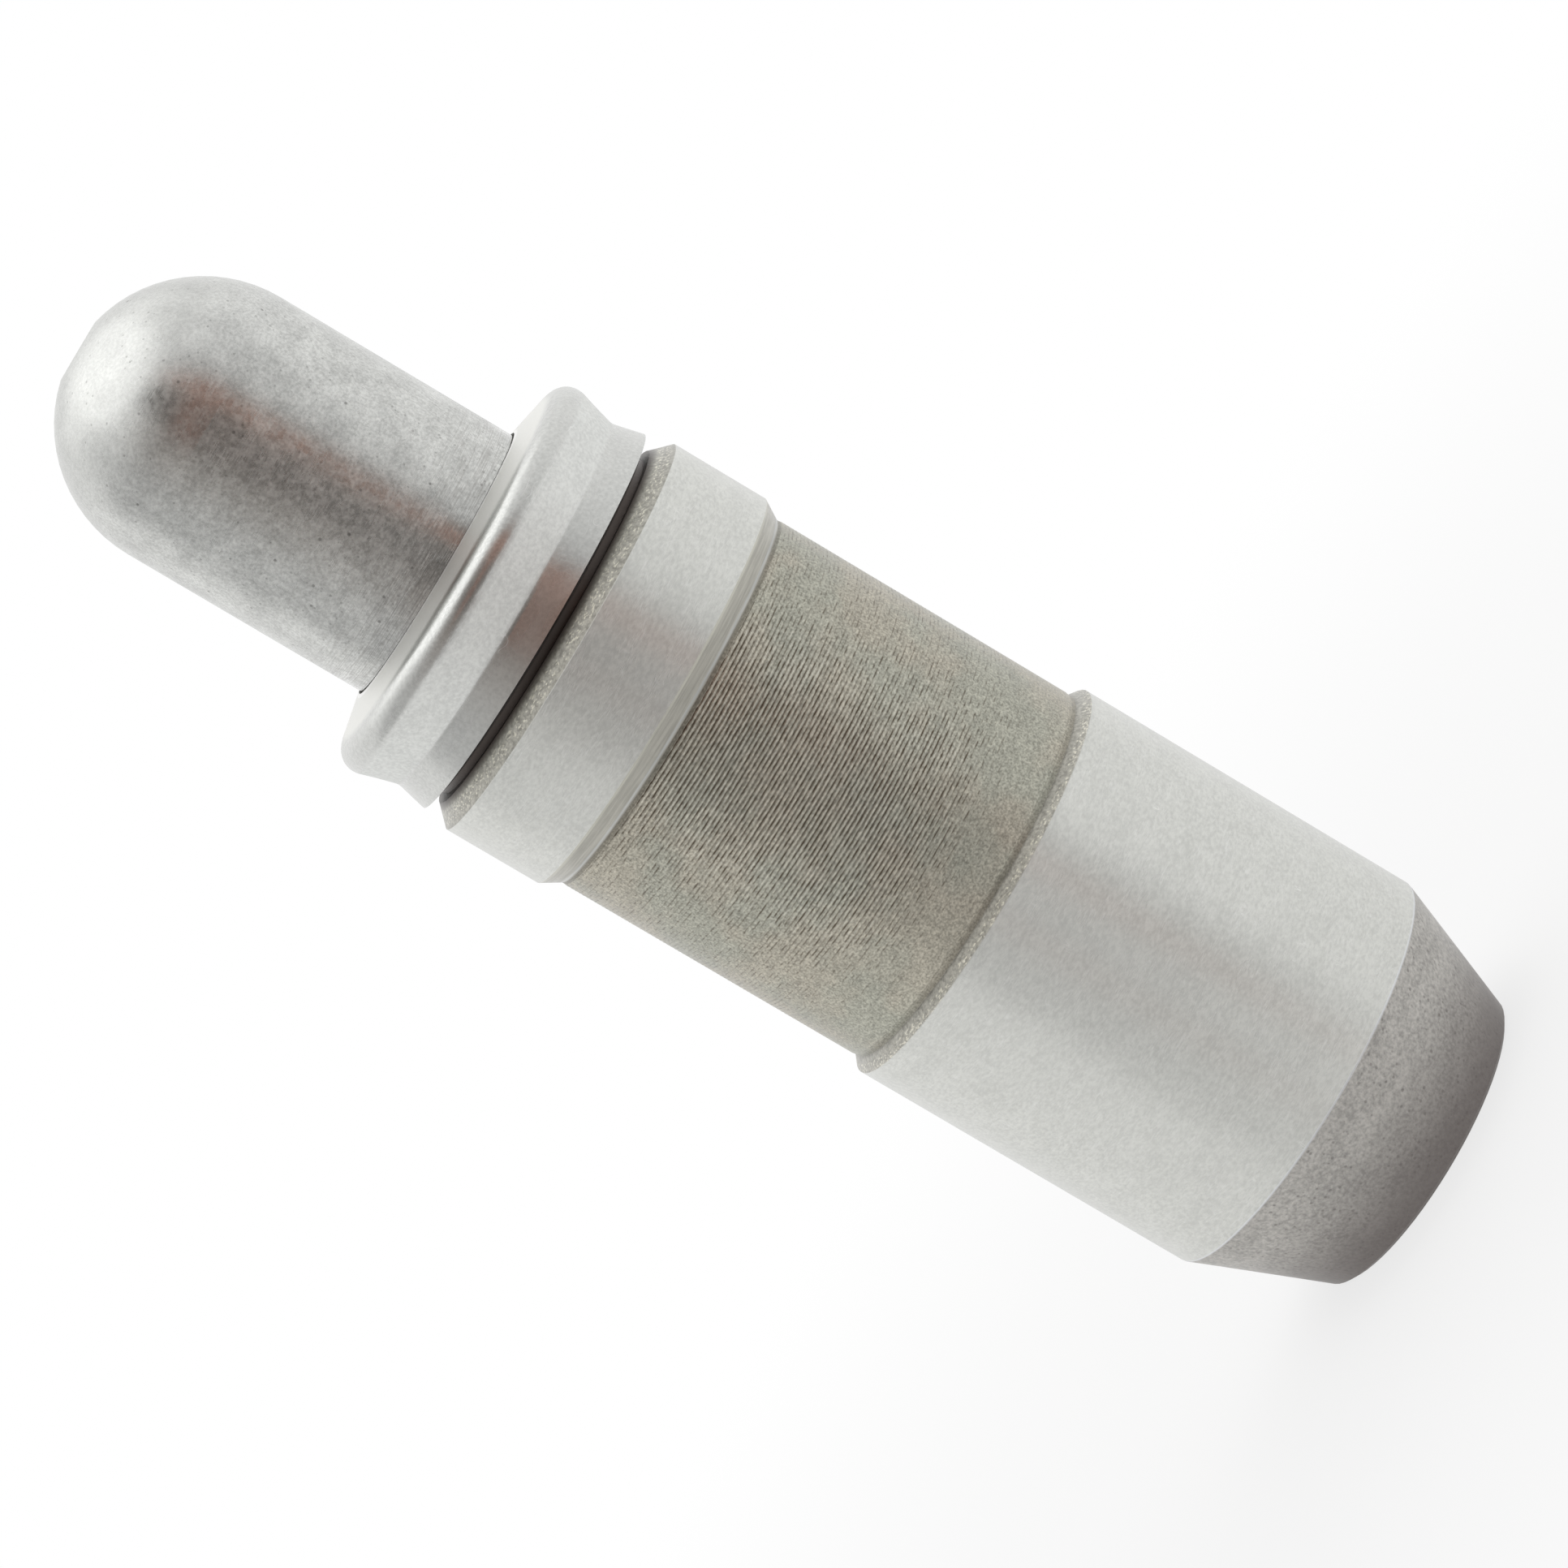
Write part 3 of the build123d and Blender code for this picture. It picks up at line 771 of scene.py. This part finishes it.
def wire_tree(material):
    """Round wire wound with closed coils at both ends, which are ground flat."""
    graph, size = new_tree("Wound wire", ("Mean Radius", "Wire", "Bottom", "Top", "Closed Turns",
                                          "Active Turns", "Closed Gap", "Ground Share"), ("Steps", "Sides"))
    closed_turns, active_turns = size["Closed Turns"], size["Active Turns"]
    lift = graph.times(size["Wire"], graph.minus(0.5, size["Ground Share"]))
    low = graph.plus(size["Bottom"], lift)
    high = graph.minus(size["Top"], lift)
    closed_pitch = graph.plus(size["Wire"], size["Closed Gap"])
    closed_height = graph.times(closed_pitch, closed_turns)
    open_height = graph.minus(graph.minus(high, low), graph.times(closed_height, 2.0))
    active_pitch = graph.over(open_height, active_turns)
    all_turns = graph.plus(active_turns, graph.times(closed_turns, 2.0))

    line = graph.node("GeometryNodeMeshLine", {"Count": size["Steps"]})
    index = graph.node("GeometryNodeInputIndex").outputs[0]
    turned = graph.times(graph.over(index, graph.minus(size["Steps"], 1.0)), all_turns)
    middle = graph.minus(turned, closed_turns)
    before = graph.math("MINIMUM", turned, closed_turns)
    active = graph.clamp(middle, 0.0, active_turns)
    after = graph.math("MAXIMUM", graph.minus(middle, active_turns), 0.0)
    closed_rise = graph.times(graph.plus(before, after), closed_pitch)
    rise = graph.plus(closed_rise, graph.times(active, active_pitch))
    around = graph.times(turned, math.tau)
    path = graph.vector(graph.times(graph.math("COSINE", around), size["Mean Radius"]),
                        graph.times(graph.math("SINE", around), size["Mean Radius"]), graph.plus(low, rise))
    curve = graph.node("GeometryNodeMeshToCurve", {"Mesh": moved(graph, line.outputs[0], path)})
    upright = graph.node("GeometryNodeSetCurveNormal", {"Curve": curve.outputs[0]}, mode="Z_UP")
    profile = graph.node("GeometryNodeCurvePrimitiveCircle", {"Resolution": size["Sides"],
                                                              "Radius": graph.times(size["Wire"], 0.5)})
    tube = graph.node("GeometryNodeCurveToMesh", {"Curve": upright.outputs[0],
                                                  "Profile Curve": profile.outputs[0], "Fill Caps": True})
    x, y, z = point_parts(graph)
    flat = graph.vector(x, y, graph.clamp(z, size["Bottom"], size["Top"]))
    return close_tree(graph, moved(graph, tube.outputs[0], flat), material)


def grown(name, tree, values):
    """Runs a Geometry Nodes tree on an empty mesh and keeps the result as a plain mesh object."""
    seedling = bpy.data.objects.new(name + ".source", bpy.data.meshes.new(name + ".source"))
    bpy.context.scene.collection.objects.link(seedling)
    modifier = seedling.modifiers.new("Grow", "NODES")
    modifier.node_group = tree
    sockets = {item.name: item.identifier for item in tree.interface.items_tree if item.in_out == "INPUT"}
    for key, value in values.items():
        modifier[sockets[key]] = value
    bpy.context.view_layer.update()
    evaluated = seedling.evaluated_get(bpy.context.evaluated_depsgraph_get())
    mesh = bpy.data.meshes.new_from_object(evaluated)
    mesh.name = name
    piece = bpy.data.objects.new(name, mesh)
    bpy.context.scene.collection.objects.link(piece)
    bpy.data.objects.remove(seedling)
    if not mesh.polygons:
        raise RuntimeError(f"{name} came out empty")
    mesh.shade_smooth()
    return piece


# Operators

class LIFTER_OT_body(bpy.types.Operator):
    """Finishes the body: lands, groove, bevels and foot"""

    bl_idname = "lifter.body"
    bl_label = "Finish body"

    def execute(self, context):
        dress("lifter_body", body_steel(context.scene.lifter_sizes, context.scene.lifter_colours))
        return {"FINISHED"}


class LIFTER_OT_feed_marks(bpy.types.Operator):
    """Turns the fine feed marks that cover the groove"""

    bl_idname = "lifter.feed_marks"
    bl_label = "Feed marks"

    def execute(self, context):
        sizes = context.scene.lifter_sizes
        # The sleeve stands a little off the groove's floor, so that the valleys stay clear of it.
        radius = GUIDE_RADIUS - sizes.groove_depth + 1.3 * sizes.mark_height
        marks = grown("groove_feed_marks", feed_mark_tree(groove_steel(context.scene.lifter_colours)), {
            "Radius": radius, "Bottom": sizes.groove_low + 0.1 * MM, "Top": sizes.groove_high,
            "Pitch": sizes.mark_pitch, "Mark Height": sizes.mark_height, "Fade Length": sizes.mark_fade,
            "Blunt Share": sizes.mark_blunt, "Even Share": sizes.mark_even, "Sink": sizes.mark_sink,
            "Hole Height": sizes.feed_hole_height, "Hole Radius": sizes.feed_hole_rim,
            "Sides": sizes.mark_sides, "Steps": MARK_STEPS})
        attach(marks, "housing")
        return {"FINISHED"}


class LIFTER_OT_cap(bpy.types.Operator):
    """Finishes the rolled retainer cap"""

    bl_idname = "lifter.cap"
    bl_label = "Finish cap"

    def execute(self, context):
        dress("retainer_cap", cap_steel(context.scene.lifter_sizes, context.scene.lifter_colours))
        return {"FINISHED"}


class LIFTER_OT_plunger(bpy.types.Operator):
    """Finishes the ball-headed plunger"""

    bl_idname = "lifter.plunger"
    bl_label = "Finish plunger"

    def execute(self, context):
        dress("ball_plunger", plunger_steel(context.scene.lifter_colours))
        return {"FINISHED"}


class LIFTER_OT_valve(bpy.types.Operator):
    """Finishes the lower plunger, the check ball and its cage"""

    bl_idname = "lifter.valve"
    bl_label = "Finish check valve"

    def execute(self, context):
        colours = context.scene.lifter_colours
        steel = plain_steel("inner_steel", colours.inner, "lapping", 0.08, 0.22, 0.34, 0.002)
        dress("leakdown_plunger", steel)
        dress("check_ball_cage", steel)
        dress("check_ball", plain_steel("ball_steel", colours.ball, "ball haze", 0.03, 0.05, 0.10, 0.0004))
        return {"FINISHED"}


class LIFTER_OT_springs(bpy.types.Operator):
    """Winds the two springs from round wire"""

    bl_idname = "lifter.springs"
    bl_label = "Wound springs"

    def execute(self, context):
        sizes = context.scene.lifter_springs
        colours = context.scene.lifter_colours
        tree = wire_tree(plain_steel("spring_steel", colours.wire, "wire streaks", 0.18, 0.3, 0.42, 0.003))
        wind_spring("plunger_spring", "housing", tree, sizes.plunger_wire,
                    sizes.plunger_turns, sizes.closed_gap)
        wind_spring("check_ball_spring", "lower_plunger", tree, sizes.check_wire,
                    sizes.check_turns, sizes.closed_gap)
        return {"FINISHED"}


def wind_spring(node, body, tree, wire, active_turns, gap):
    """Winds round wire in the space of a CAD spring, hides the CAD spring and attaches the wire to a body."""
    low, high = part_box(node)
    spring = grown(node + "_wire", tree, {
        "Mean Radius": high.x - wire / 2, "Wire": wire, "Bottom": low.z, "Top": high.z, "Closed Turns": 1.0,
        "Active Turns": active_turns, "Closed Gap": gap, "Ground Share": 0.25,
        "Steps": round(TURN_STEPS * (active_turns + 2)), "Sides": WIRE_SIDES})
    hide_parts(node)
    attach(spring, body)
    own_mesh(spring)


class LIFTER_OT_stage(bpy.types.Operator):
    """Sets up the camera, the pale floor, the lamp and the graded card in front"""

    bl_idname = "lifter.stage"
    bl_label = "Studio"

    def execute(self, context):
        stage = context.scene.lifter_stage
        make_camera(context.scene, stage)
        make_floor(stage)
        make_world(context.scene, stage)
        make_lamp(stage)
        make_card(stage)
        context.scene.view_settings.view_transform = "Standard"
        return {"FINISHED"}


def make_camera(scene, stage):
    tilt, roll = stage.camera_tilt, stage.camera_roll
    ahead = Vector((0, math.cos(tilt), -math.sin(tilt)))
    up = Vector((math.cos(roll), math.sin(roll) * math.sin(tilt), math.sin(roll) * math.cos(tilt)))
    right = ahead.cross(up)
    data = bpy.data.cameras.new("camera")
    data.lens = stage.lens
    data.sensor_width = 36
    data.clip_start = 0.005
    data.clip_end = 20
    camera = bpy.data.objects.new("camera", data)
    camera.location = stage.camera_place
    camera.rotation_euler = Matrix((right, up, -ahead)).transposed().to_euler()
    scene.collection.objects.link(camera)
    scene.camera = camera


def stage_piece(name, points, faces, material):
    """A sheet of the stage, which isn't part of the object."""
    mesh = bpy.data.meshes.new(name)
    mesh.from_pydata(points, [], faces)
    mesh.materials.append(material)
    piece = bpy.data.objects.new(name, mesh)
    bpy.context.scene.collection.objects.link(piece)
    return piece


def light_path(graph):
    """Whether a ray comes from the camera, and whether it comes from there or from metal or glass."""
    path = graph.node("ShaderNodeLightPath").outputs
    mirrored = graph.math("MAXIMUM", path["Is Glossy Ray"], path["Is Transmission Ray"])
    return path["Is Camera Ray"], graph.math("MAXIMUM", path["Is Camera Ray"], mirrored)


def make_floor(stage):
    """White floor. Near the lifter it is lit as it is, so the shadow stays; far off it is plain white."""
    material = bpy.data.materials.new("floor_white")
    graph = fresh_graph(material)
    seen = light_path(graph)[1]
    away = graph.node("ShaderNodeVectorMath", {0: graph.object_place()}, operation="LENGTH")
    white_share = graph.ramp(away.outputs["Value"], 10 * MM, 80 * MM, 0.75, 1.0)
    matt = graph.node("ShaderNodeBsdfDiffuse", {"Color": [stage.floor_grey] * 3})
    white = graph.node("ShaderNodeEmission", {"Color": WHITE, "Strength": 1.0})
    show(graph, graph.node("ShaderNodeMixShader", {0: graph.times(seen, white_share), 1: matt.outputs[0],
                                                   2: white.outputs[0]}))
    half = stage.floor_size / 2
    stage_piece("floor", [(-half, -half, 0), (half, -half, 0), (half, half, 0), (-half, half, 0)],
                [(0, 1, 2, 3)], material)


def make_world(scene, stage):
    """White surroundings for the camera and for bright metal, and a softer level on matt surfaces."""
    world = bpy.data.worlds.new("studio")
    graph = fresh_graph(world)
    from_camera, seen = light_path(graph)
    ambient = graph.node("ShaderNodeBackground", {"Color": WHITE, "Strength": stage.ambient})
    # The sky is brighter round a point almost overhead, for metal only.
    above = graph.node("ShaderNodeVectorMath", {0: graph.object_place(), 1: Vector((0.0, 0.17, 0.985))},
                       operation="DOT_PRODUCT")
    rim, core = math.cos(math.radians(52)), math.cos(math.radians(8))
    bright = graph.ramp(above.outputs["Value"], rim, core, 1.0, stage.overhead)
    strength = graph.mix(from_camera, bright, 1.0)
    white = graph.node("ShaderNodeBackground", {"Color": WHITE, "Strength": strength})
    show(graph, graph.node("ShaderNodeMixShader", {0: seen, 1: ambient.outputs[0], 2: white.outputs[0]}),
         "ShaderNodeOutputWorld")
    scene.world = world


def make_lamp(stage):
    """One large soft box overhead, a little behind the lifter and aimed at its middle."""
    data = bpy.data.lights.new("lamp_top", "AREA")
    data.size = stage.lamp_size
    data.energy = stage.lamp_power
    lamp = bpy.data.objects.new("lamp_top", data)
    lamp.location = stage.lamp_place
    lamp.rotation_euler = (Vector((0, 0, TIP_HEIGHT / 2)) - lamp.location).to_track_quat("-Z", "Y").to_euler()
    lamp.visible_glossy = False
    bpy.context.scene.collection.objects.link(lamp)


def across_greys(graph, degrees, levels):
    """Grey that follows a list of (degrees, level) across the card."""
    share = graph.node("ShaderNodeMapRange", {"Value": degrees, "From Min": -CARD_REACH,
                                              "From Max": CARD_REACH})
    made = graph.node("ShaderNodeValToRGB", {0: share.outputs[0]})
    elements = made.color_ramp.elements
    while len(elements) < len(levels):
        elements.new(0.5)
    for element, (where, level) in zip(elements, levels):
        element.position = (where + CARD_REACH) / (2 * CARD_REACH)
        element.color = (level, level, level, 1.0)
    return made.outputs[0]


def card_mesh(radius, height):
    """Points and faces of a card bent round the front, whose foot runs in along the floor."""
    columns, rows, foot = 48, 8, 6 * MM
    profile = [(0.4 * radius, 0.2 * MM), (0.7 * radius, 0.3 * MM), (0.93 * radius, 1.5 * MM), (radius, foot)]
    profile += [(radius, foot + (height - foot) * step / rows) for step in range(1, rows + 1)]
    points, faces = [], []
    for near, high in profile:
        for column in range(columns + 1):
            side = math.radians(CARD_REACH) * (2 * column / columns - 1)
            points.append((near * math.sin(side), -near * math.cos(side), high))
    for row in range(len(profile) - 1):
        for column in range(columns):
            first = row * (columns + 1) + column
            faces.append((first, first + 1, first + columns + 2, first + columns + 1))
    return points, faces


def make_card(stage):
    """Graded card in front, from the floor upwards, which the round steel mirrors as its dark band."""
    height = stage.card_height
    material = bpy.data.materials.new("card_graded")
    graph = fresh_graph(material)
    x, y, z = graph.parts(graph.object_place())
    degrees = graph.math("DEGREES", graph.math("ARCTAN2", x, graph.times(y, -1.0)))
    up = graph.over(z, MM)
    grey = graph.mix_colour(graph.ramp(up, 20.5, 27.5), across_greys(graph, degrees, LOW_GREYS),
                            across_greys(graph, degrees, HIGH_GREYS))
    warm = graph.mix_colour(graph.ramp(grey, 0.30, 0.62, 1.0, 0.0), grey, stage.card_tint, "MULTIPLY")
    # Each stripe: its spans of degrees, its fading with the height in millimetres, and its colour
    right = graph.times(graph.window(degrees, (13, 23), (25, 35)), graph.ramp(up, 24, 32, 0.2, 0.65))
    left = graph.times(graph.window(degrees, (-20, -11), (-8, 2)), graph.ramp(up, 20, 26, 0.12, 0.0))
    glow = graph.times(graph.window(degrees, (-24, -14), (26, 36)), graph.window(up, (40, 46), (56, 68), 0.7))
    for mask, shade in ((right, stage.streak_colour), (left, stage.streak_colour), (glow, CARD_GLOW)):
        warm = graph.mix_colour(mask, warm, shade)
    # The card fades to white towards its top, last in its middle.
    core = graph.ramp(graph.math("ABSOLUTE", degrees), 8, 24, 1.0, 0.0)
    lift = graph.mix(core, graph.ramp(z, 0.4 * height, height), graph.ramp(z, 0.75 * height, height))
    graded = graph.mix_colour(lift, warm, WHITE)
    show(graph, graph.node("ShaderNodeEmission", {"Color": graded, "Strength": 1.0}))
    card = stage_piece("graded_card", *card_mesh(stage.card_radius, height), material)
    card.visible_camera = False
    card.visible_shadow = False
    card.visible_diffuse = False


class LIFTER_PT_panel(bpy.types.Panel):
    """Lists the operators and their sizes in the sidebar"""

    bl_label = "Valve lifter"
    bl_idname = "LIFTER_PT_panel"
    bl_space_type = "VIEW_3D"
    bl_region_type = "UI"
    bl_category = "Lifter"

    def draw(self, context):
        for operator in OPERATORS:
            self.layout.operator(operator.bl_idname)
        for name, group in GROUPS.items():
            for key in group.__annotations__:
                self.layout.prop(getattr(context.scene, name), key)


GROUPS = {"lifter_sizes": LifterSizes, "lifter_springs": LifterSprings, "lifter_colours": LifterColours,
          "lifter_stage": LifterStage}
OPERATORS = (LIFTER_OT_body, LIFTER_OT_feed_marks, LIFTER_OT_cap, LIFTER_OT_plunger, LIFTER_OT_valve,
             LIFTER_OT_springs, LIFTER_OT_stage)
CLASSES = (*GROUPS.values(), *OPERATORS, LIFTER_PT_panel)


def register():
    for item in CLASSES:
        bpy.utils.register_class(item)
    for name, group in GROUPS.items():
        setattr(bpy.types.Scene, name, PointerProperty(type=group))


def unregister():
    for name in GROUPS:
        delattr(bpy.types.Scene, name)
    for item in reversed(CLASSES):
        bpy.utils.unregister_class(item)


def main():
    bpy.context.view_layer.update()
    register()
    bpy.ops.lifter.stage()
    bpy.ops.lifter.body()
    bpy.ops.lifter.feed_marks()
    bpy.ops.lifter.cap()
    bpy.ops.lifter.plunger()
    bpy.ops.lifter.valve()
    bpy.ops.lifter.springs()


if __name__ == "__main__":
    main()
